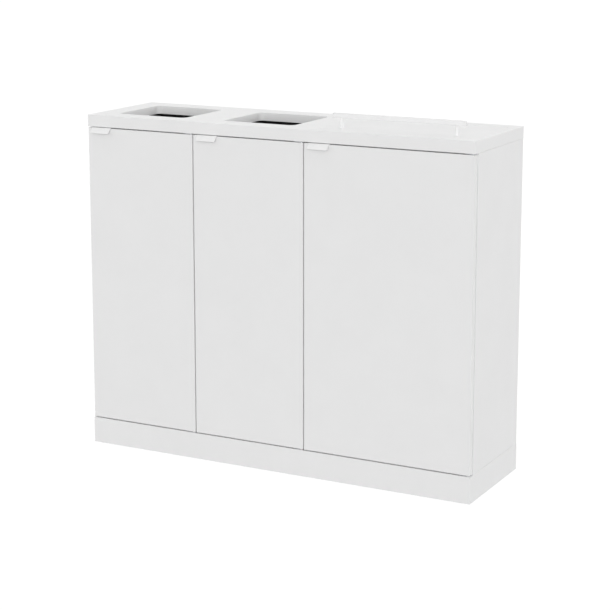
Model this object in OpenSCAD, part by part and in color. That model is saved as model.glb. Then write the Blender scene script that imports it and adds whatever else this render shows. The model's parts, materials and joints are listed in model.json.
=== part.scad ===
// Recycling bin station: a low cabinet on a plinth, with three doors, two waste chutes in its
// top and a lift-up lid with a bar handle over the wide compartment.
// Units are millimetres. X runs to the right, Y to the back and Z up. The origin is on the floor,
// at the centre of the footprint, pull tabs included.

/* [Cabinet] */
// Width across the two side panels
body_w = 1203; // [1180:1:1260]
// Width of each of the two narrow compartments
narrow_w = 350; // [340:5:360]
// Depth of the top panel and of the plinth
top_d = 342; // [342:2:380]
// Height of the plinth
plinth_h = 76; // [60:2:100]
// Height of the side panels
side_h = 870; // [860:10:960]
// Thickness of the top panel
top_t = 34; // [30:1:40]
// How far the top panel and the plinth stand out past the side and back panels
overhang = 0.5; // [0.3:0.1:4]
// Thickness of the sides, partitions, doors and bottom
board_t = 18; // [16:1:20]
// Thickness of the back panel
back_t = 8; // [6:1:10]
// Broken edge on the boards that are seen
arris = 0.7; // [0.3:0.1:1]
// Height of the shadow line under the top panel, outside the side panels
seam_h = 0.4; // [0.2:0.1:1]
// Depth of that shadow line
seam_in = 1.2; // [0.8:0.1:2]

/* [Doors] */
// Gap above and below a door
door_gap = 3; // [3:0.5:4]
// Gap between two doors
split_gap = 3.6; // [3:0.1:4]
// Width of a side panel that shows beside an end door
reveal = 1.5; // [0:0.5:4]
// Gap between the back of a door and the front edges of the cabinet
rear_gap = 2.5; // [2.5:0.1:3.5]
// Distance of the hinge axis from the door's right edge
pivot_side = 7; // [6.5:0.1:7]
// Distance of the hinge axis behind the door's front face
pivot_depth = 6; // [5.5:0.1:6.5]
// Diameter of the hinge pins
pin_d = 5; // [4:0.5:5]
// Thickness of the hinge plates
plate_t = 1.5; // [1:0.1:1.5]

/* [Pull tabs] */
// Width of a pull tab
pull_w = 62; // [54:1:90]
// Distance from the door's left edge to the pull tab
pull_inset = 15; // [6:1:30]
// How far the lip stands out in front of the door
pull_reach = 16; // [14:1:26]
// How far the lip drops over its reach
pull_drop = 17; // [6:1:20]
// Thickness of the bent sheet
sheet_t = 1.5; // [1:0.1:1.5]

/* [Chutes] */
// Width of a chute opening in the top panel
chute_w = 225; // [200:1:230]
// Depth of a chute opening in the top panel, front to back
chute_d = 218; // [190:1:220]
// Corner radius of a chute opening
chute_r = 16; // [10:1:30]
// Distance from the front edge of the top panel to a chute opening
chute_inset = 60; // [58:1:64]
// Depth of the collar's rim below the top surface
rim_drop = 24; // [20:1:28]
// Width of the throat
throat_w = 185; // [150:1:190]
// Depth of the throat, front to back
throat_d = 150; // [120:1:170]

/* [Lid] */
// Width of the lid
lid_w = 448; // [400:2:450]
// Depth of the lid, front to back
lid_d = 250; // [230:2:252]
// Thickness of the lid
lid_t = 12; // [12:1:14]
// Seam around the lid
lid_seam = 0.6; // [0.6:0.1:1.5]
// Diameter of the lid's pivot pins
lid_pin_d = 4; // [3:0.5:4]

/* [Lid handle] */
// Length of the bar
bar_l = 390; // [300:5:420]
// Height and thickness of the bar
bar_t = 12.5; // [10:0.5:14]
// Clear height under the bar
bar_clear = 28.5; // [25:0.5:40]
// Diameter of the posts
post_d = 8.5; // [8:0.5:10]
// Distance between the posts
post_pitch = 338; // [260:2:360]
// Distance of the bar's centre line behind the front edge of the top panel
bar_inset = 70; // [66:1:80]

/* [Bins] */
// Height of the loose inner bins
bin_h = 770; // [600:10:780]
// Depth of the bins, front to back
bin_d = 262; // [230:2:270]
// Wall thickness of the bins
bin_wall = 3; // [2.5:0.1:4]
// Space between a bin and the walls of its compartment, on each side
bin_side = 24; // [22:1:40]

/* [Hidden] */

$fn = 48;
// Overlap that a cut is given past the face it opens
cut = 1;
// Overlap that joins two shapes of one solid
join = 0.5;

// Heights, from the floor up
carcass_top = plinth_h + side_h;
top_z = carcass_top + top_t;
floor_z = plinth_h + board_t;
door_z0 = plinth_h + door_gap;
door_z1 = carcass_top - door_gap;

// Places across the width: the plinth's end, the walls between compartments, and the doors
outer_x = body_w / 2 + overhang;
half_w = body_w / 2;
inner_x = half_w - board_t;
end_x = half_w - reveal;
split_x = [narrow_w - end_x, 2 * narrow_w - end_x];
door_x0 = [-end_x, split_x[0] + split_gap / 2, split_x[1] + split_gap / 2];
door_x1 = [split_x[0] - split_gap / 2, split_x[1] - split_gap / 2, end_x];
room_x0 = [-inner_x, split_x[0] + board_t / 2, split_x[1] + board_t / 2];
room_x1 = [split_x[0] - board_t / 2, split_x[1] - board_t / 2, inner_x];
room_x = [(split_x[0] - end_x) / 2, (split_x[0] + split_x[1]) / 2, (split_x[1] + end_x) / 2];
pivot_x = [for (x = door_x1) x - pivot_side];

// Depths, measured from the cabinet's front face to the back
front_y = pull_reach / 2 - top_d / 2;
function deep(d) = front_y + d;
carcass_d0 = board_t + rear_gap;
carcass_d1 = top_d - overhang;
back_d0 = carcass_d1 - back_t;
carcass_d = carcass_d1 - carcass_d0;
room_d = back_d0 - carcass_d0;

// Hinges
run = 0.05;
bush_d = 8;
bush_l = 13;
washer_d = 9;
plate_w = 26;
plate_d = 14;
plate_edge = 6;
plate_holes = [4.5, 12];
plate_screw_d = 9.5;

// Magnetic catches behind the free edge of each door
catch_w = 44;
catch_d = 14;
catch_h = 15;
catch_x = 24;
catch_pitch = 34;
magnet_w = 22;
magnet_d = 5;
magnet_h = 8;
strike_t = 1.5;
strike_h = 12;
strike_z = carcass_top - catch_h;

// Pull tabs
flange_d = 15;
bend_r = 2.5;
lip_angle = atan(pull_drop / pull_reach);
pull_screw_pitch = 44;
pull_screw_d = 9;

// Chute collars
collar_play = 0.3;
collar_wall = 3;
chute_flange = 14;
flange_t = 3;
throat_z = carcass_top - 21;
spout_z = carcass_top - 61;
chute_depth_mid = chute_inset + chute_d / 2;
chute_screw_x = chute_w / 2 + 7;
chute_screw_y = chute_d / 2 - 30;

// Lid
lid_d0 = bar_inset - 25;
lid_x = room_x[2];
lid_z = top_z - lid_t;
lid_axis_in = 4.5;
lid_axis_d = lid_d0 + lid_d - lid_axis_in;
lid_axis_z = top_z - lid_axis_in;
hatch_w = lid_w + 2 * lid_seam;
hatch_d = lid_d + 2 * lid_seam;
ledge_w = 20;
ledge_drop = 1.2;
ledge_z = lid_z - ledge_drop;
lid_pin_in = 12;
lid_bush_d = 6;
lid_bush_l = 10;
lid_pin_l = lid_pin_in + lid_seam + lid_bush_l - 1;
handle_screw_d = 4;
handle_hole_d = 4.4;

// Small fasteners: head diameter, head height, shank diameter and shank length
plate_screw = [5.5, 0.9, 3, 14];
bracket_screw = [6.5, 2, 3.5, 13];
catch_screw = [5.5, 1.8, 3, 14];
chute_screw = [7, 2.2, 3.5, 14];
back_screw = [7, 1.8, 3.5, 22];
plinth_screw = [8, 2.5, 4.5, 36];
pull_screw = [5, 0.9, 2.5, 14];

// Brackets under the top panel
bracket_l = 20;
bracket_t = 2;
bracket_d = [22, top_d - 40];

// Inner bins
bin_r = 22;
bin_rim = 6;
bin_rim_h = 5;
bin_x = [for (i = [0:2]) (room_x0[i] + room_x1[i]) / 2];
bin_w = [for (i = [0:2]) room_x1[i] - room_x0[i] - 2 * bin_side];
bin_mid = carcass_d0 + room_d / 2;
ring_t = 5;

// ---- Shapes that repeat ----

// A flat rectangle with round corners, centred
module round_rect(w, d, r) {
    square([w - 2 * r, d], center = true);
    square([w, d - 2 * r], center = true);
    for (x = [-1, 1], y = [-1, 1])
        translate([x * (w / 2 - r), y * (d / 2 - r)]) circle(r);
}

// A slab with round corners, centred in plan, from z = 0 up
module round_slab(w, d, r, h) linear_extrude(h) round_rect(w, d, r);

// A ring of constant width in the same form
module round_ring(w, d, r, wall, h)
    linear_extrude(h) difference() {
        round_rect(w, d, r);
        round_rect(w - 2 * wall, d - 2 * wall, r - wall);
    }

// A board with every edge broken, from its lowest corner
module board(w, d, h, c = arris)
    hull() {
        translate([0, c, c]) cube([w, d - 2 * c, h - 2 * c]);
        translate([c, 0, c]) cube([w - 2 * c, d, h - 2 * c]);
        translate([c, c, 0]) cube([w - 2 * c, d - 2 * c, h]);
    }

// A board of the plinth with mitred ends, its outer face on y = 0
module mitred_board(l)
    linear_extrude(plinth_h)
        polygon([[-l / 2, 0], [l / 2, 0], [l / 2 - board_t, board_t], [board_t - l / 2, board_t]]);

// A screw whose head stands on z = 0 and whose shank goes down
module screw(s) {
    cylinder(d = s[0], h = s[1]);
    translate([0, 0, -s[3]]) cylinder(d = s[2], h = s[3] + join);
}

// The hole that the shank of that screw fills
module screw_hole(s) translate([0, 0, -s[3]]) cylinder(d = s[2], h = s[3] + cut);

// A plain bush, from z = 0 up
module bush(outer, inner, l)
    difference() {
        cylinder(d = outer, h = l);
        translate([0, 0, -cut]) cylinder(d = inner, h = l + 2 * cut);
    }

// ---- Places that several parts share ----

module at_plate_screws(i)
    for (x = plate_holes)
        translate([pivot_x[i] + plate_edge - plate_w + x, deep(plate_screw_d), 0]) children();

module at_catch_screws(i)
    for (s = [-1, 1])
        translate([room_x0[i] + catch_x + catch_w / 2 + s * catch_pitch / 2,
                   deep(carcass_d0 + catch_d / 2), carcass_top - catch_h]) rotate([180, 0, 0])
            children();

module at_pull_screws(i)
    for (s = [-1, 1])
        translate([door_x0[i] + pull_inset + pull_w / 2 + s * pull_screw_pitch / 2,
                   deep(pull_screw_d), door_z1 + sheet_t])
            children();

module at_chute_screws(i)
    for (x = [-1, 1], y = [-1, 1])
        translate([room_x[i] + x * chute_screw_x, deep(chute_depth_mid) + y * chute_screw_y,
                   carcass_top - flange_t]) rotate([180, 0, 0])
            children();

// Two rows up the partitions and one along the bottom panel
module at_back_screws()
    for (p = concat([for (x = split_x, k = [0.25, 0.5, 0.75, 0.95]) [x, plinth_h + k * side_h]],
                    [for (k = [-0.9, -0.1, 0.45, 0.9]) [k * inner_x, plinth_h + board_t / 2]]))
        translate([p[0], deep(carcass_d1), p[1]]) rotate([-90, 0, 0]) children();

module at_plinth_screws()
    for (x = [-1, 1], k = [0.35, 0.85])
        translate([x * k * inner_x, deep(carcass_d0 + 8), floor_z]) children();

// Wall face, direction and depth of each bracket under the top
module at_brackets()
    for (p = [[-inner_x, 1], [room_x0[1], 1], [room_x1[1], -1], [inner_x, -1]], d = bracket_d)
        translate([p[0], deep(d), carcass_top]) scale([p[1], 1, 1]) children();

module at_lid_posts()
    for (s = [-1, 1]) translate([lid_x + s * post_pitch / 2, deep(bar_inset), 0]) children();

// ---- Plinth ----

module plinth_front()
    color("white") difference() {
        translate([0, deep(0), 0]) mitred_board(2 * outer_x);
        for (i = [0:2])
            translate([0, 0, plinth_h + plate_t]) at_plate_screws(i) screw_hole(plate_screw);
    }

module plinth_back()
    color("white") translate([0, deep(top_d), 0]) rotate([0, 0, 180]) mitred_board(2 * outer_x);

module plinth_left()
    color("white") translate([-outer_x, deep(top_d / 2), 0]) rotate([0, 0, -90])
        mitred_board(top_d);

module plinth_right()
    color("white") translate([outer_x, deep(top_d / 2), 0]) rotate([0, 0, 90])
        mitred_board(top_d);

block_w = 34;
block_h = 56;
cleat_d = 22;
cleat_h = 40;

// Glue blocks in the four inner corners
module corner_blocks()
    color("burlywood")
        for (x = [-1, 1], d = [board_t, top_d - board_t - block_w])
            translate([x * (outer_x - board_t - block_w / 2) - block_w / 2, deep(d), 10])
                cube([block_w, block_w, block_h]);

// Rail behind the plinth's front that carries the bottom panel
module plinth_cleat() {
    l = 2 * (outer_x - board_t - block_w);
    color("burlywood") difference() {
        translate([-l / 2, deep(board_t), plinth_h - cleat_h]) cube([l, cleat_d, cleat_h]);
        at_plinth_screws() screw_hole(plinth_screw);
    }
}

module plinth_screws() color("silver") at_plinth_screws() screw(plinth_screw);

// ---- Carcass ----

module bottom_panel()
    color("white") difference() {
        translate([-inner_x, deep(carcass_d0), plinth_h]) cube([2 * inner_x, room_d, board_t]);
        at_plinth_screws() screw_hole(plinth_screw);
        at_back_screws() screw_hole(back_screw);
    }

module side_panel(x)
    color("white") difference() {
        translate([x, deep(carcass_d0), plinth_h]) board(board_t, carcass_d, side_h);
        translate([x < 0 ? x - cut : x + board_t - seam_in, deep(carcass_d0) - cut,
                   carcass_top - seam_h])
            cube([seam_in + cut, carcass_d + 2 * cut, seam_h + cut]);
        at_brackets() bracket_holes();
    }

module side_left() side_panel(-half_w);

module side_right() side_panel(inner_x);

module partition(x)
    color("white") difference() {
        translate([x - board_t / 2, deep(carcass_d0), floor_z])
            cube([board_t, room_d, carcass_top - floor_z]);
        at_brackets() bracket_holes();
        at_back_screws() screw_hole(back_screw);
    }

module partition_left() partition(split_x[0]);

module partition_right() partition(split_x[1]);

module back_panel()
    color("white") difference() {
        translate([-inner_x, deep(back_d0), plinth_h]) cube([2 * inner_x, back_t, side_h]);
        at_back_screws() screw_hole(back_screw);
    }

module back_screws() color("silver") at_back_screws() screw(back_screw);

// One chute opening through the top panel, with its upper edge broken
module chute_opening() {
    translate([0, 0, -cut]) round_slab(chute_w, chute_d, chute_r, top_t + 2 * cut);
    hull() {
        translate([0, 0, top_t - arris]) round_slab(chute_w, chute_d, chute_r, 0.01);
        translate([0, 0, top_t])
            round_slab(chute_w + 2 * arris, chute_d + 2 * arris, chute_r + arris, 0.01);
    }
}

module top_panel()
    color("white") difference() {
        translate([-outer_x, deep(0), carcass_top]) board(2 * outer_x, top_d, top_t);
        for (i = [0, 1])
            translate([room_x[i], deep(chute_depth_mid), carcass_top]) chute_opening();
        translate([lid_x - hatch_w / 2, deep(lid_d0 - lid_seam), carcass_top - cut])
            cube([hatch_w, hatch_d, top_t + 2 * cut]);
        for (s = [-1, 1])
            translate([lid_x + s * (hatch_w / 2 - cut), deep(lid_axis_d), lid_axis_z])
                rotate([0, s * 90, 0]) cylinder(d = lid_pin_d, h = lid_pin_in + cut);
        at_brackets() bracket_holes();
        for (i = [0:2]) {
            at_catch_screws(i) screw_hole(catch_screw);
            translate([0, 0, carcass_top - plate_t]) at_plate_screws(i) rotate([180, 0, 0])
                screw_hole(plate_screw);
        }
        for (i = [0, 1]) at_chute_screws(i) screw_hole(chute_screw);
    }

// ---- Brackets that hold the top panel ----

module at_bracket_screws() {
    translate([bracket_l * 0.6, bracket_l / 2, -bracket_t]) rotate([180, 0, 0]) children();
    translate([bracket_t, bracket_l / 2, -bracket_l * 0.6]) rotate([0, 90, 0]) children();
}

module bracket_holes() at_bracket_screws() screw_hole(bracket_screw);

module top_brackets()
    color("silver") at_brackets() difference() {
        union() {
            translate([0, 0, -bracket_t]) cube([bracket_l, bracket_l, bracket_t]);
            translate([0, 0, -bracket_l]) cube([bracket_t, bracket_l, bracket_l]);
        }
        bracket_holes();
    }

module bracket_screws() color("silver") at_brackets() at_bracket_screws() screw(bracket_screw);

// ---- Chutes ----

// A flanged collar that narrows into a throat and ends in a straight spout
module chute(i) {
    collar_w = chute_w - 2 * collar_play;
    collar_d = chute_d - 2 * collar_play;
    collar_r = chute_r - collar_play;
    rim_z = top_z - rim_drop;
    spout_r = 20;
    wall2 = 2 * collar_wall;
    color("#101010") translate([room_x[i], deep(chute_depth_mid), 0]) difference() {
        union() {
            translate([0, 0, carcass_top - flange_t])
                round_slab(chute_w + 2 * chute_flange, chute_d + 2 * chute_flange, chute_r + chute_flange,
                           flange_t);
            translate([0, 0, carcass_top - flange_t])
                round_slab(collar_w, collar_d, collar_r, rim_z - carcass_top + flange_t);
            hull() {
                translate([0, 0, carcass_top - flange_t])
                    round_slab(collar_w, collar_d, collar_r, 0.01);
                translate([0, 0, throat_z])
                    round_slab(throat_w + wall2, throat_d + wall2, spout_r + collar_wall, 0.01);
            }
            translate([0, 0, spout_z])
                round_slab(throat_w + wall2, throat_d + wall2, spout_r + collar_wall,
                           throat_z - spout_z + join);
        }
        hull() {
            translate([0, 0, rim_z])
                round_slab(collar_w - wall2, collar_d - wall2, collar_r - collar_wall, 0.01);
            translate([0, 0, throat_z]) round_slab(throat_w, throat_d, spout_r, 0.01);
        }
        translate([0, 0, spout_z - cut])
            round_slab(throat_w, throat_d, spout_r, throat_z - spout_z + 2 * cut);
        translate([-room_x[i], -deep(chute_depth_mid), 0]) at_chute_screws(i)
            screw_hole(chute_screw);
    }
}

module chute_left() chute(0);

module chute_middle() chute(1);

module chute_screws() color("silver") for (i = [0, 1]) at_chute_screws(i) screw(chute_screw);

// ---- Pivot hinges ----

module hinge_plate(i)
    difference() {
        translate([pivot_x[i] + plate_edge - plate_w, deep(2), 0]) cube([plate_w, plate_d, plate_t]);
        translate([pivot_x[i], deep(pivot_depth), -cut]) cylinder(d = pin_d, h = plate_t + 2 * cut);
        at_plate_screws(i) cylinder(d = plate_screw[2], h = 3 * plate_t, center = true);
    }

module hinge_plates_upper()
    color("silver") translate([0, 0, carcass_top - plate_t]) for (i = [0:2]) hinge_plate(i);

module hinge_plates_lower() color("silver") translate([0, 0, plinth_h]) for (i = [0:2]) hinge_plate(i);

// A pin above and below each door, one end in its plate and the other in the door's bush
module hinge_pins()
    color("gray") for (x = pivot_x) translate([x, deep(pivot_depth), 0]) {
        translate([0, 0, plinth_h]) cylinder(d = pin_d, h = door_gap + bush_l - 2);
        translate([0, 0, carcass_top - door_gap - bush_l + 2])
            cylinder(d = pin_d, h = door_gap + bush_l - 2);
    }

// Thrust washers that carry the doors
module hinge_washers()
    color("white") for (x = pivot_x)
        translate([x, deep(pivot_depth), plinth_h + plate_t])
            bush(washer_d, pin_d + 2 * run, door_gap - plate_t - run);

module plate_screws()
    color("silver") for (i = [0:2]) {
        translate([0, 0, carcass_top - plate_t]) at_plate_screws(i) rotate([180, 0, 0])
            screw(plate_screw);
        translate([0, 0, plinth_h + plate_t]) at_plate_screws(i) screw(plate_screw);
    }

// ---- Magnetic catches ----

module at_magnets(i)
    translate([room_x0[i] + catch_x + (catch_w - magnet_w) / 2, deep(carcass_d0),
               carcass_top - catch_h + 2])
        children();

module catch_housings()
    color("lightgray") for (i = [0:2]) difference() {
        translate([room_x0[i] + catch_x, deep(carcass_d0), carcass_top - catch_h])
            cube([catch_w, catch_d, catch_h]);
        at_magnets(i) translate([0, -cut, 0]) cube([magnet_w, magnet_d + cut, magnet_h]);
        at_catch_screws(i) screw_hole(catch_screw);
    }

module catch_magnets()
    color("dimgray") for (i = [0:2]) at_magnets(i) translate([0, -0.5, 0])
        cube([magnet_w, magnet_d + 0.5, magnet_h]);

module catch_screws() color("silver") for (i = [0:2]) at_catch_screws(i) screw(catch_screw);

// ---- Inner bins ----

module bin(i)
    color("#2b2d2f") translate([bin_x[i], deep(bin_mid), floor_z]) difference() {
        round_slab(bin_w[i], bin_d, bin_r, bin_h - bin_rim_h);
        translate([0, 0, bin_wall])
            round_slab(bin_w[i] - 2 * bin_wall, bin_d - 2 * bin_wall, bin_r - bin_wall, bin_h);
    }

// The rim on top of a bin's walls
module rim(i)
    color("#2b2d2f") translate([bin_x[i], deep(bin_mid), floor_z + bin_h - bin_rim_h])
        round_ring(bin_w[i] + 2 * bin_rim, bin_d + 2 * bin_rim, bin_r + bin_rim,
                   bin_rim + bin_wall, bin_rim_h);

module bin_left() bin(0);

module bin_middle() bin(1);

module bin_right() bin(2);

module rim_left() rim(0);

module rim_middle() rim(1);

module rim_right() rim(2);

// Loops that lie on the rims and hold the sacks
module sack_rings()
    color("gray") for (i = [0:2])
        translate([bin_x[i], deep(bin_mid), floor_z + bin_h])
            round_ring(bin_w[i] + bin_rim, bin_d + bin_rim, bin_r + bin_rim / 2, bin_rim, ring_t);

// ---- Doors ----

module door(i)
    color("white") difference() {
        translate([door_x0[i], deep(0), door_z0])
            board(door_x1[i] - door_x0[i], board_t, door_z1 - door_z0);
        translate([pivot_x[i], deep(pivot_depth), door_z0 - cut]) cylinder(d = bush_d, h = bush_l + cut);
        translate([pivot_x[i], deep(pivot_depth), door_z1 - bush_l])
            cylinder(d = bush_d, h = bush_l + cut);
        at_pull_screws(i) screw_hole(pull_screw);
    }

// A bent sheet: a flange on the door's top edge and a lip that slopes down in front of it
module pull(i) {
    arc = [for (k = [0:4]) k / 4 * lip_angle];
    outer = [for (a = arc) [-(bend_r + sheet_t) * sin(a), (bend_r + sheet_t) * (cos(a) - 1) + sheet_t]];
    inner = [for (k = [4:-1:0]) [-bend_r * sin(arc[k]), bend_r * (cos(arc[k]) - 1)]];
    normal = [-sin(lip_angle), cos(lip_angle)];
    lip = (pull_reach - (bend_r + sheet_t) * sin(lip_angle)) / cos(lip_angle);
    lip_end = inner[0] - lip * [cos(lip_angle), sin(lip_angle)];
    profile = concat([[flange_d, 0], [flange_d, sheet_t]], outer,
                     [lip_end + normal * sheet_t, lip_end], inner);
    color("white") difference() {
        translate([door_x0[i] + pull_inset, deep(0), door_z1]) rotate([90, 0, 90])
            linear_extrude(pull_w) polygon(profile);
        at_pull_screws(i) screw_hole(pull_screw);
    }
}

module pull_screws(i) color("silver") at_pull_screws(i) screw(pull_screw);

module bushes(i)
    color("dimgray") translate([pivot_x[i], deep(pivot_depth), 0]) {
        translate([0, 0, door_z0]) bush(bush_d, pin_d + 2 * run, bush_l);
        translate([0, 0, door_z1 - bush_l]) bush(bush_d, pin_d + 2 * run, bush_l);
    }

module strike(i)
    color("silver") translate([room_x0[i] + catch_x + 2, deep(board_t), strike_z])
        cube([catch_w - 4, strike_t, strike_h]);

module bumpers(i)
    color("lightgray") for (z = [door_z0 + 60, door_z1 - 90])
        translate([door_x0[i] + 4, deep(board_t), z]) rotate([-90, 0, 0])
            cylinder(d = 6, h = rear_gap - 0.2);

module door_left() door(0);

module pull_left() pull(0);

module pull_screws_left() pull_screws(0);

module bushes_left() bushes(0);

module strike_left() strike(0);

module bumpers_left() bumpers(0);

module door_middle() door(1);

module pull_middle() pull(1);

module pull_screws_middle() pull_screws(1);

module bushes_middle() bushes(1);

module strike_middle() strike(1);

module bumpers_middle() bumpers(1);

module door_right() door(2);

module pull_right() pull(2);

module pull_screws_right() pull_screws(2);

module bushes_right() bushes(2);

module strike_right() strike(2);

module bumpers_right() bumpers(2);

// ---- Lid ----

// The four strips inside the hatch that carry the closed lid
module lid_ledges() {
    h = ledge_z - carcass_top;
    x0 = lid_x - hatch_w / 2;
    color("white") {
        for (x = [x0, x0 + hatch_w - ledge_w])
            translate([x, deep(lid_d0 - lid_seam), carcass_top]) cube([ledge_w, hatch_d, h]);
        for (d = [lid_d0 - lid_seam, lid_d0 - lid_seam + hatch_d - ledge_w])
            translate([x0 + ledge_w, deep(d), carcass_top]) cube([hatch_w - 2 * ledge_w, ledge_w, h]);
    }
}

module lid_pivot_pins()
    color("silver") for (s = [-1, 1])
        translate([lid_x + s * (hatch_w / 2 + lid_pin_in), deep(lid_axis_d), lid_axis_z])
            rotate([0, -s * 90, 0]) cylinder(d = lid_pin_d, h = lid_pin_l);

// A panel whose upper back edge is rounded about the hinge axis
module lid_panel()
    color("white") difference() {
        hull() {
            translate([lid_x - lid_w / 2, deep(lid_d0), lid_z])
                board(lid_w, lid_axis_d - lid_d0, lid_t);
            translate([lid_x - lid_w / 2, deep(lid_axis_d), lid_axis_z]) rotate([0, 90, 0])
                cylinder(r = lid_axis_in, h = lid_w);
            translate([lid_x - lid_w / 2, deep(lid_axis_d), lid_z])
                cube([lid_w, lid_axis_in - 1.5, lid_t / 4]);
        }
        for (s = [-1, 1])
            translate([lid_x + s * (lid_w / 2 - lid_bush_l), deep(lid_axis_d), lid_axis_z])
                rotate([0, s * 90, 0]) cylinder(d = lid_bush_d, h = lid_bush_l + cut);
        at_lid_posts() {
            translate([0, 0, lid_z - cut]) cylinder(d = 9, h = 3.5 + cut);
            translate([0, 0, lid_z]) cylinder(d = handle_hole_d, h = lid_t + cut);
        }
    }

module lid_bushes()
    color("dimgray") for (s = [-1, 1])
        translate([lid_x + s * (lid_w / 2 - lid_bush_l), deep(lid_axis_d), lid_axis_z])
            rotate([0, s * 90, 0]) bush(lid_bush_d, lid_pin_d + 2 * run, lid_bush_l);

module lid_bumpers()
    color("lightgray") for (x = [-1, 1], d = [lid_d0 + 9, lid_d0 + lid_d - 30])
        translate([lid_x + x * (lid_w / 2 - 9), deep(d), lid_z - ledge_drop + 0.2])
            cylinder(d = 8, h = ledge_drop - 0.2);

module lid_posts()
    color("white") at_lid_posts() translate([0, 0, top_z]) difference() {
        cylinder(d = post_d, h = bar_clear);
        translate([0, 0, -cut]) cylinder(d = handle_screw_d, h = 14 + cut);
    }

module lid_bar()
    color("white") translate([lid_x - bar_l / 2, deep(bar_inset), top_z + bar_clear + bar_t / 2])
        rotate([90, 0, 90]) round_slab(bar_t, bar_t, 1.2, bar_l);

module lid_screws()
    color("silver") at_lid_posts() translate([0, 0, lid_z + 3.5]) {
        translate([0, 0, -2.5]) cylinder(d = 8, h = 2.5);
        cylinder(d = handle_screw_d, h = lid_t - 3.5 + 13);
    }

// ---- Drawing ----

plinth_front();
plinth_back();
plinth_left();
plinth_right();
plinth_cleat();
corner_blocks();
plinth_screws();
bottom_panel();
side_left();
side_right();
partition_left();
partition_right();
back_panel();
back_screws();
top_panel();
top_brackets();
bracket_screws();
chute_left();
chute_middle();
chute_screws();
hinge_plates_upper();
hinge_plates_lower();
hinge_pins();
hinge_washers();
plate_screws();
catch_housings();
catch_magnets();
catch_screws();
bin_left();
bin_middle();
bin_right();
rim_left();
rim_middle();
rim_right();
sack_rings();
lid_ledges();
lid_pivot_pins();
door_left();
pull_left();
pull_screws_left();
bushes_left();
strike_left();
bumpers_left();
door_middle();
pull_middle();
pull_screws_middle();
bushes_middle();
strike_middle();
bumpers_middle();
door_right();
pull_right();
pull_screws_right();
bushes_right();
strike_right();
bumpers_right();
lid_panel();
lid_bar();
lid_posts();
lid_screws();
lid_bushes();
lid_bumpers();
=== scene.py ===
import json
import math

import bmesh
import bpy
from mathutils import Matrix, Vector


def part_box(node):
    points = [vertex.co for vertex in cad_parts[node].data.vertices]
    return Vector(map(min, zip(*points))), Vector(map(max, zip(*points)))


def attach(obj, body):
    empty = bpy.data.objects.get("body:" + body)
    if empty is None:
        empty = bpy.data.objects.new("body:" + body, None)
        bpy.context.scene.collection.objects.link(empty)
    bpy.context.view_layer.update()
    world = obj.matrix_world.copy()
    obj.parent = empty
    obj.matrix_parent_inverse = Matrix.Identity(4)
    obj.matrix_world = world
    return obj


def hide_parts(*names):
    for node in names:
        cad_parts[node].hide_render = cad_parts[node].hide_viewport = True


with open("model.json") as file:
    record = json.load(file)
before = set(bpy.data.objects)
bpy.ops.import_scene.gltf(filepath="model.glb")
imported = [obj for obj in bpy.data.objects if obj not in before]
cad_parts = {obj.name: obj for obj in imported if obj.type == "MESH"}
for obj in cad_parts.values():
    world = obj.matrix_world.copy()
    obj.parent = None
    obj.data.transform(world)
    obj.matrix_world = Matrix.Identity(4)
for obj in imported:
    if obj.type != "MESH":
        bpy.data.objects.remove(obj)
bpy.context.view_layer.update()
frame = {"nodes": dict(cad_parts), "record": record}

# The looks of the recycling bin station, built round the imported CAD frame. Lengths are metres.

MM = 0.001
SIDES = ("left", "middle", "right")
CHUTE_SIDES = ("left", "middle")
NODE_SLOT = {row["node"]: row["material_slot"] for row in frame["record"]["subparts"]}
NODE_BODY = {n: body for body, nodes in frame["record"]["behaviour"]["bodies"].items() for n in nodes}


# ---- Camera, floor and light ----

CAMERA_PLACE = (2.323, -4.386, 1.614)
CAMERA_YAW = 27.71
CAMERA_PITCH = 10.86
CAMERA_LENS = 105.1
CAMERA_RISE = -0.12
SENSOR = 36.0
CLIP_NEAR = 0.05
CLIP_FAR = 200.0

SKY = 0.65
GROUND = 0.4
HORIZON = 1.0
WORLD_STOPS = (  # (height from 0 straight down to 1 straight up, brightness)
    (0.49, GROUND),
    (0.5, HORIZON),
    (0.57, HORIZON),
    (0.64, SKY),
)
SUNS = {  # name: (degrees to the right of the front, degrees up, spread in degrees, strength)
    "front": (22, 9, 30, 1.22),
    "left": (-100, 12, 35, 0.6),
    "behind": (150, 18, 35, 1.0),
    "overhead": (180, 84, 40, 0.35),
}
FLOOR_HALF = 70.0
FLOOR_TONE = 0.15
FLOOR_GLOW = 0.9


def make_camera():
    """A long lens from the front right. The small shift keeps the uprights nearly parallel."""
    data = bpy.data.cameras.new("camera")
    data.lens = CAMERA_LENS
    data.sensor_width = SENSOR
    data.shift_y = CAMERA_RISE
    data.clip_start = CLIP_NEAR
    data.clip_end = CLIP_FAR
    camera = bpy.data.objects.new("camera", data)
    camera.location = CAMERA_PLACE
    camera.rotation_euler = (math.radians(90 - CAMERA_PITCH), 0, math.radians(CAMERA_YAW))
    bpy.context.scene.collection.objects.link(camera)
    bpy.context.scene.camera = camera


def soft_sun(name, azimuth, elevation, spread, strength):
    """An even light from far away, broad enough to blur every shadow."""
    data = bpy.data.lights.new(name, "SUN")
    data.angle = math.radians(spread)
    data.energy = strength
    light = bpy.data.objects.new(name, data)
    light.rotation_euler = (math.radians(90 - elevation), 0, math.radians(azimuth))
    bpy.context.scene.collection.objects.link(light)


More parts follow.
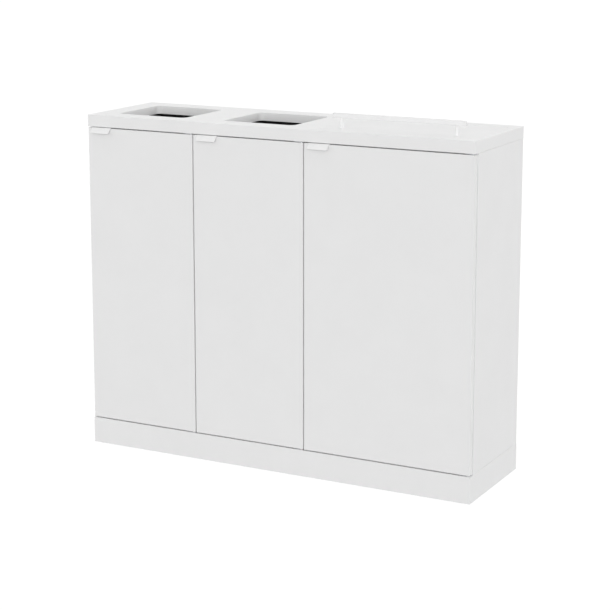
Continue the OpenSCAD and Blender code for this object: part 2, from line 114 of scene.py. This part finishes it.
def make_studio():
    """Soft surroundings with a white band along the horizon, broad even lights and a pale floor."""
    world = bpy.data.worlds.new("studio")
    world.use_nodes = True
    tree = world.node_tree
    up = tree.nodes.new("ShaderNodeSeparateXYZ")
    tree.links.new(tree.nodes.new("ShaderNodeTexCoord").outputs["Generated"], up.inputs["Vector"])
    height = tree.nodes.new("ShaderNodeMapRange")
    height.inputs["From Min"].default_value = -1
    tree.links.new(up.outputs["Z"], height.inputs["Value"])
    ramp = tree.nodes.new("ShaderNodeValToRGB")
    stops = ramp.color_ramp.elements
    for stop, (place, tone) in zip((stops[0], stops[1]), (WORLD_STOPS[0], WORLD_STOPS[-1])):
        stop.position = place
        stop.color = (tone, tone, tone, 1)
    for place, tone in WORLD_STOPS[1:-1]:
        stops.new(place).color = (tone, tone, tone, 1)
    tree.links.new(height.outputs["Result"], ramp.inputs["Fac"])
    tree.links.new(ramp.outputs["Color"], tree.nodes["Background"].inputs["Color"])
    bpy.context.scene.world = world
    bpy.context.scene.view_settings.view_transform = "Standard"
    for name, numbers in SUNS.items():
        soft_sun(name, *numbers)
    bm = bmesh.new()
    bmesh.ops.create_grid(bm, x_segments=8, y_segments=8, size=FLOOR_HALF)
    mesh = bpy.data.meshes.new("floor")
    bm.to_mesh(mesh)
    bm.free()
    mesh.materials.append(floor_look())
    floor = bpy.data.objects.new("floor", mesh)
    bpy.context.scene.collection.objects.link(floor)
    floor.visible_diffuse = False


# ---- Material nodes ----

NOISE_LOW = 0.3    # most of a noise lies between these two
NOISE_HIGH = 0.7


class Look:
    """A Principled material and the few kinds of node that the looks below are built from."""

    def __init__(self, name, color, roughness, metallic=0.0, **sockets):
        self.material = bpy.data.materials.new(name)
        self.material.use_nodes = True
        self.material.diffuse_color = (*color, 1)
        self.tree = self.material.node_tree
        self.shader = self.tree.nodes["Principled BSDF"]
        self.shader.inputs["Base Color"].default_value = (*color, 1)
        self.shader.inputs["Roughness"].default_value = roughness
        self.shader.inputs["Metallic"].default_value = metallic
        for socket, value in sockets.items():
            self.shader.inputs[socket.replace("_", " ")].default_value = value
        self.place = self.tree.nodes.new("ShaderNodeTexCoord").outputs["Object"]
        self.normal = None

    def stretched(self, scale):
        """The piece's own coordinates, scaled along each axis."""
        mapping = self.tree.nodes.new("ShaderNodeMapping")
        mapping.inputs["Scale"].default_value = scale
        self.tree.links.new(self.place, mapping.inputs["Vector"])
        return mapping.outputs["Vector"]

    def noise(self, per_metre, detail=2.0, rough=0.5, vector=None):
        """Cloudy noise with this many blots to a metre."""
        node = self.tree.nodes.new("ShaderNodeTexNoise")
        node.inputs["Scale"].default_value = per_metre
        node.inputs["Detail"].default_value = detail
        node.inputs["Roughness"].default_value = rough
        self.tree.links.new(vector or self.place, node.inputs["Vector"])
        return node.outputs["Fac"]

    def cells(self, per_metre):
        """Small round cells, for a moulded grain or pits."""
        node = self.tree.nodes.new("ShaderNodeTexVoronoi")
        node.inputs["Scale"].default_value = per_metre
        self.tree.links.new(self.place, node.inputs["Vector"])
        return node.outputs["Distance"]

    def spread(self, value, low, high, out_low, out_high):
        """Value carried from the range low to high over to the range out_low to out_high."""
        node = self.tree.nodes.new("ShaderNodeMapRange")
        node.inputs["From Min"].default_value = low
        node.inputs["From Max"].default_value = high
        node.inputs["To Min"].default_value = out_low
        node.inputs["To Max"].default_value = out_high
        self.tree.links.new(value, node.inputs["Value"])
        return node.outputs["Result"]

    def tint(self, value, low_color, high_color, low=NOISE_LOW, high=NOISE_HIGH):
        """Base colour between two colours, as value goes from low to high."""
        ramp = self.tree.nodes.new("ShaderNodeValToRGB")
        ramp.color_ramp.elements[0].position = low
        ramp.color_ramp.elements[0].color = (*low_color, 1)
        ramp.color_ramp.elements[1].position = high
        ramp.color_ramp.elements[1].color = (*high_color, 1)
        self.tree.links.new(value, ramp.inputs["Fac"])
        self.tree.links.new(ramp.outputs["Color"], self.shader.inputs["Base Color"])

    def sheen_of(self, value, low, high):
        """Roughness between low and high."""
        roughness = self.spread(value, NOISE_LOW, NOISE_HIGH, low, high)
        self.tree.links.new(roughness, self.shader.inputs["Roughness"])

    def relief(self, value, height):
        """Bump of a real height in metres, on top of any relief before it."""
        node = self.tree.nodes.new("ShaderNodeBump")
        node.inputs["Strength"].default_value = 1.0
        node.inputs["Distance"].default_value = height
        self.tree.links.new(value, node.inputs["Height"])
        if self.normal:
            self.tree.links.new(self.normal, node.inputs["Normal"])
        self.normal = node.outputs["Normal"]
        self.tree.links.new(self.normal, self.shader.inputs["Normal"])


WHITE = (0.86, 0.86, 0.86)
PAINT = (0.84, 0.84, 0.84)
MOULDING_BLACK = (0.003, 0.003, 0.0032)
BIN_GREY = (0.045, 0.047, 0.05)
ZINC = (0.62, 0.63, 0.65)
FERRITE = (0.06, 0.06, 0.065)
NYLON = (0.72, 0.72, 0.7)
RUBBER = (0.66, 0.67, 0.66)
SOFTWOOD = (0.66, 0.5, 0.32)
SOFTWOOD_DARK = (0.50, 0.34, 0.19)
SOFTWOOD_LIGHT = (0.76, 0.6, 0.41)


def scaled(color, k):
    """A colour made darker or lighter."""
    return tuple(c * k for c in color)


def floor_look():
    """A pale seamless floor, lifted a little so that it meets the white surroundings."""
    tone = (FLOOR_TONE,) * 3
    look = Look("floor_pale", tone, 0.9)
    look.shader.inputs["Specular IOR Level"].default_value = 0.0
    look.shader.inputs["Emission Color"].default_value = (1, 1, 1, 1)
    look.shader.inputs["Emission Strength"].default_value = FLOOR_GLOW
    look.tint(look.noise(1.5, 3), scaled(tone, 0.99), scaled(tone, 1.01))
    return look.material


def board_look():
    """Satin lacquer on board: a soft orange peel, long waves and faint clouds in tone and gloss."""
    look = Look("satin_lacquer", WHITE, 0.42, Specular_IOR_Level=0.12)
    look.tint(look.noise(9, 4, 0.6), scaled(WHITE, 0.99), scaled(WHITE, 1.008))
    look.sheen_of(look.noise(22, 5, 0.65), 0.38, 0.5)
    look.relief(look.noise(14, 2), 0.00025)
    look.relief(look.noise(380, 3, 0.55), 0.00002)
    return look.material


def metal_paint_look():
    """Fine powder coat on sheet and bar: a tight even grain."""
    look = Look("powder_coat", PAINT, 0.45, Specular_IOR_Level=0.1)
    look.tint(look.noise(60, 3), scaled(PAINT, 0.99), scaled(PAINT, 1.01))
    look.sheen_of(look.noise(140, 3), 0.38, 0.5)
    look.relief(look.noise(1100, 2), 0.00003)
    return look.material


def black_plastic_look():
    """Matt black moulding with a spark-eroded grain."""
    look = Look("black_moulding", MOULDING_BLACK, 0.6, Specular_IOR_Level=0.05)
    look.tint(look.noise(120, 4), scaled(MOULDING_BLACK, 0.7), scaled(MOULDING_BLACK, 1.4))
    look.sheen_of(look.noise(45, 4), 0.55, 0.72)
    look.relief(look.cells(900), 0.00004)
    return look.material


def bin_look():
    """Dark grey polyethylene: fine grain, upright draw marks and light scuffs."""
    look = Look("bin_moulding", BIN_GREY, 0.5, Specular_IOR_Level=0.4)
    scuffs = look.noise(1, 6, 0.7, look.stretched((70, 70, 9)))
    look.tint(scuffs, scaled(BIN_GREY, 0.85), scaled(BIN_GREY, 1.7), 0.45, 0.85)
    look.sheen_of(look.noise(30, 5), 0.42, 0.62)
    look.relief(look.noise(1, 3, 0.5, look.stretched((500, 500, 60))), 0.00004)
    look.relief(look.cells(700), 0.00003)
    return look.material


def zinc_look():
    """Bright zinc plate: soft spangle, fine rolling lines and some dull patches."""
    look = Look("zinc_plate", ZINC, 0.32, metallic=1.0)
    look.tint(look.noise(160, 5, 0.7), scaled(ZINC, 0.8), scaled(ZINC, 1.12))
    look.sheen_of(look.noise(90, 4), 0.24, 0.46)
    look.relief(look.noise(1, 2, 0.5, look.stretched((90, 1400, 1400))), 0.00002)
    return look.material


def magnet_look():
    """Sintered ferrite: nearly black, with tiny pits."""
    look = Look("ferrite", FERRITE, 0.6, metallic=0.3)
    look.tint(look.noise(700, 4, 0.7), scaled(FERRITE, 0.6), scaled(FERRITE, 1.6))
    look.relief(look.cells(1500), 0.00003)
    return look.material


def nylon_look():
    """Milky nylon, slightly waxy."""
    look = Look("nylon", NYLON, 0.45, Specular_IOR_Level=0.4,
                Subsurface_Weight=0.1, Subsurface_Scale=0.002)
    look.tint(look.noise(200, 3), scaled(NYLON, 0.96), scaled(NYLON, 1.03))
    look.sheen_of(look.noise(260, 3), 0.4, 0.55)
    look.relief(look.noise(900, 2), 0.00002)
    return look.material


def rubber_look():
    """Soft, cloudy polyurethane for the bumpers."""
    look = Look("clear_rubber", RUBBER, 0.3, Transmission_Weight=0.3, IOR=1.45)
    look.tint(look.noise(300, 3), scaled(RUBBER, 0.93), scaled(RUBBER, 1.05))
    look.sheen_of(look.noise(300, 2), 0.25, 0.4)
    look.relief(look.noise(600, 2), 0.00002)
    return look.material


def wood_look():
    """Planed softwood with its grain along X."""
    look = Look("softwood", SOFTWOOD, 0.6, Specular_IOR_Level=0.3)
    grain = look.noise(1, 8, 0.65, look.stretched((6, 120, 120)))
    look.tint(grain, SOFTWOOD_DARK, SOFTWOOD_LIGHT, 0.35, 0.62)
    look.sheen_of(grain, 0.5, 0.7)
    look.relief(grain, 0.0002)
    return look.material


LOOKS = {
    "white_board": board_look(),
    "white_metal": metal_paint_look(),
    "chute_black": black_plastic_look(),
    "bin_plastic": bin_look(),
    "zinc_steel": zinc_look(),
    "magnet": magnet_look(),
    "white_nylon": nylon_look(),
    "clear_rubber": rubber_look(),
    "raw_wood": wood_look(),
}


def dress_cad():
    """Every CAD node takes the look of its slot."""
    for name, node in frame["nodes"].items():
        node.data.materials.clear()
        node.data.materials.append(LOOKS[NODE_SLOT[name]])


# ---- Mesh tools ----

SHARP = math.radians(30)
FLAT = math.radians(0.6)
WELD = 0.02 * MM


def add_piece(bm, name, *nodes):
    """Turns bm into a piece that stands for CAD nodes, on their body and in their slot."""
    mesh = bpy.data.meshes.new(name)
    bmesh.ops.recalc_face_normals(bm, faces=bm.faces)
    bm.to_mesh(mesh)
    bm.free()
    mesh.shade_smooth()
    mesh.set_sharp_from_angle(angle=SHARP)
    mesh.materials.append(LOOKS[NODE_SLOT[nodes[0]]])
    piece = bpy.data.objects.new(name, mesh)
    bpy.context.scene.collection.objects.link(piece)
    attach(piece, NODE_BODY[nodes[0]])
    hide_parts(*nodes)
    return piece


def welded(node):
    """A copy of the CAD node's mesh in which the faces share their corners."""
    bm = bmesh.new()
    bm.from_mesh(frame["nodes"][node].data)
    bmesh.ops.remove_doubles(bm, verts=bm.verts, dist=WELD)
    return bm


def flattened(node):
    """The welded mesh with the triangles of each flat face joined into one."""
    bm = welded(node)
    bmesh.ops.dissolve_limit(bm, angle_limit=FLAT, verts=bm.verts, edges=bm.edges)
    return bm


def soften(bm, width, segments=2):
    """Rounds every sharp edge."""
    edges = [e for e in bm.edges if len(e.link_faces) == 2 and e.calc_face_angle(0) > SHARP]
    bmesh.ops.bevel(bm, geom=edges, offset=width, segments=segments, profile=0.5,
                    affect="EDGES", clamp_overlap=True)


def softened(name, node, width, segments=2):
    """A piece of the CAD node's own shape with rounded edges."""
    bm = flattened(node)
    soften(bm, width, segments)
    return add_piece(bm, name, node)


def islands(node):
    """The lowest corner, the highest corner and the points of each separate solid of a node."""
    bm = welded(node)
    seen = set()
    found = []
    for start in bm.verts:
        if start in seen:
            continue
        seen.add(start)
        stack = [start]
        group = []
        while stack:
            vert = stack.pop()
            group.append(vert.co.copy())
            for edge in vert.link_edges:
                other = edge.other_vert(vert)
                if other not in seen:
                    seen.add(other)
                    stack.append(other)
        found.append((Vector(min(c[i] for c in group) for i in range(3)),
                      Vector(max(c[i] for c in group) for i in range(3)), group))
    bm.free()
    return found


def skin(bm, rings, cap_first=False, cap_last=False):
    """Joins closed rings of points with faces, one ring to the next."""
    rows = [[bm.verts.new(p) for p in ring] for ring in rings]
    for a, b in zip(rows, rows[1:]):
        for i in range(len(a)):
            j = (i + 1) % len(a)
            bm.faces.new((a[i], a[j], b[j], b[i]))
    if cap_first:
        bm.faces.new(rows[0][::-1])
    if cap_last:
        bm.faces.new(rows[-1])
    return rows


def circle(radius, z, count=32):
    """Points round the Z axis."""
    return [Vector((radius * math.cos(t), radius * math.sin(t), z))
            for t in (2 * math.pi * i / count for i in range(count))]


def lathe(bm, profile, place=Matrix.Identity(4), count=32):
    """A closed turned shape from (radius, height) pairs."""
    rings = [[place @ p for p in circle(r, z, count)] for r, z in profile]
    skin(bm, rings, cap_first=True, cap_last=True)


def round_rect_ring(centre, w, d, r, z, steps=8):
    """Points round a rectangle with round corners, at a height."""
    points = []
    for corner, (sx, sy) in enumerate(((1, 1), (-1, 1), (-1, -1), (1, -1))):
        for k in range(steps + 1):
            t = math.pi / 2 * (corner + k / steps)
            points.append(Vector((centre[0] + sx * (w / 2 - r) + r * math.cos(t),
                                  centre[1] + sy * (d / 2 - r) + r * math.sin(t), z)))
    return points


# ---- Screws ----

RECESS = 0.55         # reach of the cross recess, in head radii
ARM = 0.17            # half the width of an arm of the cross, in head radii
RECESS_TAPER = 0.82   # the cross's size at its floor, against its mouth
SCREW_SIDES = 24


def screw_mesh(bm, place, head_r, head_h, shank_r, shank_l):
    """A screw with a domed head and a cross recess. Its head stands on z = 0 of place."""
    side = [(shank_r, -shank_l * 0.82), (shank_r, 0), (head_r * 0.96, 0), (head_r, head_h * 0.12),
            (head_r, head_h * 0.45), (head_r * 0.93, head_h * 0.8), (head_r * 0.74, head_h)]
    rings = [[place @ p for p in circle(r, z, SCREW_SIDES)] for r, z in side]
    tip = [place @ p for p in circle(shank_r * 0.15, -shank_l, SCREW_SIDES)]
    rows = skin(bm, [tip] + rings, cap_first=True)
    arm = head_r * ARM
    reach = head_r * RECESS
    cross = [(reach, -arm), (reach, arm), (arm, arm), (arm, reach), (-arm, reach), (-arm, arm),
             (-reach, arm), (-reach, -arm), (-arm, -arm), (-arm, -reach), (arm, -reach), (arm, -arm)]
    floor_z = max(head_h - head_r * 0.5, head_h * 0.25)
    upper = [bm.verts.new(place @ Vector((x, y, head_h))) for x, y in cross]
    lower = [bm.verts.new(place @ Vector((x * RECESS_TAPER, y * RECESS_TAPER, floor_z)))
             for x, y in cross]
    rim = rows[-1]
    edges = []
    for loop in (rim, upper):
        for a, b in zip(loop, loop[1:] + loop[:1]):
            edges.append(bm.edges.get((a, b)) or bm.edges.new((a, b)))
    bmesh.ops.triangle_fill(bm, use_beauty=True, use_dissolve=False, edges=edges)
    for i in range(len(upper)):
        j = (i + 1) % len(upper)
        bm.faces.new((upper[i], upper[j], lower[j], lower[i]))
    bm.faces.new(lower)


def detailed_screws(name, node):
    """Replaces a group of plain screws, each on its own axis and at its own size."""
    bm = bmesh.new()
    for low, high, group in islands(node):
        size = high - low
        axis = max(range(3), key=lambda i: size[i])
        across = [i for i in range(3) if i != axis]
        centre = (low + high) / 2
        head_r = max(size[i] for i in across) / 2
        out = [math.hypot(*((p - centre)[i] for i in across)) for p in group]
        along = [p[axis] for p, r in zip(group, out) if r > 0.98 * head_r]
        head_low = min(along)
        head_high = max(along)
        shank_r = max(r for r in out if r <= 0.98 * head_r)
        up = head_high > centre[axis]
        seat = centre.copy()
        seat[axis] = head_low if up else head_high
        direction = Vector((0, 0, 0))
        direction[axis] = 1 if up else -1
        place = Matrix.Translation(seat) @ direction.to_track_quat("Z", "Y").to_matrix().to_4x4()
        head_h = head_high - head_low
        screw_mesh(bm, place, head_r, head_h, shank_r, size[axis] - head_h)
    return add_piece(bm, name, node)


# ---- Pieces ----

TAB_CORNER = 3 * MM        # radius of the two corners at the tip of a tab's lip
TAB_EDGE = 0.3 * MM
TIP_DEPTH = 1.5 * MM       # the tip lies within this of the front
TIP_EDGE = 1.2 * MM        # the edges at its corners are longer than this
UPRIGHT = 0.01 * MM        # most that an edge across the sheet strays along X
TAB_END = 0.1 * MM         # and most that it is away from the tab's end
BAR_EDGE = 1.2 * MM
BUMPER_FOOT = 0.25         # where a bumper's dome starts, as a part of its height
DOME_STEPS = 7

BIN_LIP = 6 * MM           # how far the rim stands out
BIN_SKIRT = 14 * MM        # depth of the rim
BIN_CORNER = 22 * MM       # outer corner radius
BIN_WALL = 3 * MM
BIN_DRAFT = 7 * MM         # how far each wall leans in at the foot
BIN_FOOT = 8 * MM          # radius of the rounded foot
BIN_RIBS = (0.62, 0.66)    # places of the ribs, as parts of the height
RIB_OUT = 1.6 * MM
FOOT_STEPS = 5


def make_pulls():
    """Bent sheet pull tabs: round outer corners on the lip and a softened edge all round."""
    for side in SIDES:
        node = f"pull_{side}"
        bm = flattened(node)
        low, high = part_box(node)
        front = low.y + TIP_DEPTH
        corners = [e for e in bm.edges if all(v.co.y < front for v in e.verts)
                   and abs(e.verts[0].co.x - e.verts[1].co.x) < UPRIGHT
                   and e.calc_length() > TIP_EDGE
                   and min(abs(e.verts[0].co.x - low.x), abs(e.verts[0].co.x - high.x)) < TAB_END]
        bmesh.ops.bevel(bm, geom=corners, offset=TAB_CORNER, segments=5, profile=0.5,
                        affect="EDGES", clamp_overlap=True)
        soften(bm, TAB_EDGE)
        add_piece(bm, f"pull_tab_{side}", node)


def make_handle():
    """The lid's bar with softened ends, and posts with a turned foot and a neck under the bar."""
    low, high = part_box("lid_bar")
    bm = bmesh.new()
    place = Matrix.Translation((low + high) / 2) @ Matrix.Diagonal((*(high - low), 1))
    bmesh.ops.create_cube(bm, size=1, matrix=place)
    bmesh.ops.bevel(bm, geom=bm.edges[:], offset=BAR_EDGE, segments=4, profile=0.5,
                    affect="EDGES")
    add_piece(bm, "handle_bar", "lid_bar")
    bm = bmesh.new()
    for low, high, _ in islands("lid_posts"):
        r = (high.x - low.x) / 2
        h = high.z - low.z
        place = Matrix.Translation(((low.x + high.x) / 2, (low.y + high.y) / 2, low.z))
        foot = [(r * 0.9, 0), (r, 0.4 * MM), (r, 1.6 * MM)]
        groove = [(r * 0.93, 2.0 * MM), (r * 0.93, 2.6 * MM), (r, 3.0 * MM)]
        neck = [(r, h - 1.2 * MM), (r * 0.95, h - 0.6 * MM), (r * 0.95, h)]
        lathe(bm, foot + groove + neck, place, 40)
    add_piece(bm, "handle_posts", "lid_posts")


def make_bumpers(name, node, axis):
    """Domed self-adhesive bumpers. axis is the way that the dome faces."""
    bm = bmesh.new()
    turn = Vector(axis).to_track_quat("Z", "Y").to_matrix().to_4x4()
    along = max(range(3), key=lambda i: abs(axis[i]))
    for low, high, _ in islands(node):
        seat = (low + high) / 2
        seat[along] = low[along] if axis[along] > 0 else high[along]
        size = high - low
        h = size[along]
        r = max(size[i] for i in range(3) if i != along) / 2
        profile = [(r * 0.97, 0), (r, h * 0.08)]
        profile += [(r * math.cos(t), h * (BUMPER_FOOT + (1 - BUMPER_FOOT) * math.sin(t)))
                    for t in (math.pi / 2 * k / DOME_STEPS for k in range(DOME_STEPS))]
        profile.append((r * 0.1, h))
        lathe(bm, profile, Matrix.Translation(seat) @ turn, 28)
    add_piece(bm, name, node)


def make_bin(side):
    """A moulded bin: drafted walls with two ribs, a rounded foot and a rolled rim."""
    low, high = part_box(f"rim_{side}")
    low.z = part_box(f"bin_{side}")[0].z
    centre = ((low.x + high.x) / 2, (low.y + high.y) / 2)
    w = high.x - low.x - 2 * BIN_LIP
    d = high.y - low.y - 2 * BIN_LIP
    h = high.z - low.z

    def outer(z, grow=0.0):
        inset = 2 * BIN_DRAFT * (1 - z / h) - 2 * grow
        return round_rect_ring(centre, w - inset, d - inset, BIN_CORNER, low.z + z)

    def inner(z, grow=0.0):
        inset = 2 * BIN_DRAFT * (1 - z / h) + 2 * BIN_WALL - 2 * grow
        return round_rect_ring(centre, w - inset, d - inset, BIN_CORNER - BIN_WALL, low.z + z)

    rings = [outer(0, -BIN_FOOT)]
    rings += [outer(BIN_FOOT * (1 - math.cos(t)), BIN_FOOT * (math.sin(t) - 1))
              for t in (math.pi / 2 * k / FOOT_STEPS for k in range(1, FOOT_STEPS + 1))]
    for rib_z in (place * h for place in BIN_RIBS):
        rings += [outer(rib_z - 4 * MM), outer(rib_z - 2.5 * MM, RIB_OUT),
                  outer(rib_z + 2.5 * MM, RIB_OUT), outer(rib_z + 4 * MM)]
    skirt = h - BIN_SKIRT
    rings += [outer(skirt - 1 * MM), outer(skirt, 0.6 * BIN_LIP), outer(skirt + 1 * MM, 0.82 * BIN_LIP)]
    rings += [outer(h - 3 * MM, BIN_LIP), outer(h - 1.2 * MM, BIN_LIP - 0.5 * MM),
              outer(h, BIN_LIP - 2 * MM)]
    rings += [inner(h, -0.4 * MM), inner(h - 1 * MM), inner(0.5 * h), inner(BIN_WALL + 10 * MM)]
    rings += [inner(BIN_WALL + 3 * MM, -3 * MM), inner(BIN_WALL, -10 * MM)]
    bm = bmesh.new()
    skin(bm, rings, cap_first=True, cap_last=True)
    add_piece(bm, f"moulded_bin_{side}", f"bin_{side}", f"rim_{side}")


EDGE_WIDTHS = {  # CAD node: width of its softened edges in millimetres
    "top_brackets": 0.7,
    "hinge_plates_upper": 0.35,
    "hinge_plates_lower": 0.35,
    "catch_housings": 0.8,
    "catch_magnets": 0.4,
    "hinge_washers": 0.2,
    "hinge_pins": 0.4,
    "lid_pivot_pins": 0.4,
    "lid_bushes": 0.2,
}
SCREW_GROUPS = ("plinth_screws", "back_screws", "bracket_screws", "chute_screws", "plate_screws",
                "catch_screws", "lid_screws")


def make_fittings():
    """Hardware and collars in their CAD shapes with softened edges, screws with heads, and bins."""
    for node, width in EDGE_WIDTHS.items():
        softened(f"{node}_fine", node, width * MM)
    for side in SIDES:
        softened(f"strike_plate_{side}", f"strike_{side}", 0.5 * MM, 3)
        softened(f"door_bushes_{side}", f"bushes_{side}", 0.25 * MM)
        detailed_screws(f"tab_screws_{side}", f"pull_screws_{side}")
        make_bumpers(f"door_bumpers_{side}", f"bumpers_{side}", (0, 1, 0))
        make_bin(side)
    for node in SCREW_GROUPS:
        detailed_screws(f"{node}_fine", node)
    make_bumpers("ledge_bumpers", "lid_bumpers", (0, 0, -1))
    softened("sack_hoops", "sack_rings", 1.9 * MM, 4)
    for side in CHUTE_SIDES:
        softened(f"chute_collar_{side}", f"chute_{side}", 0.6 * MM)


dress_cad()
make_camera()
make_studio()
make_pulls()
make_handle()
make_fittings()
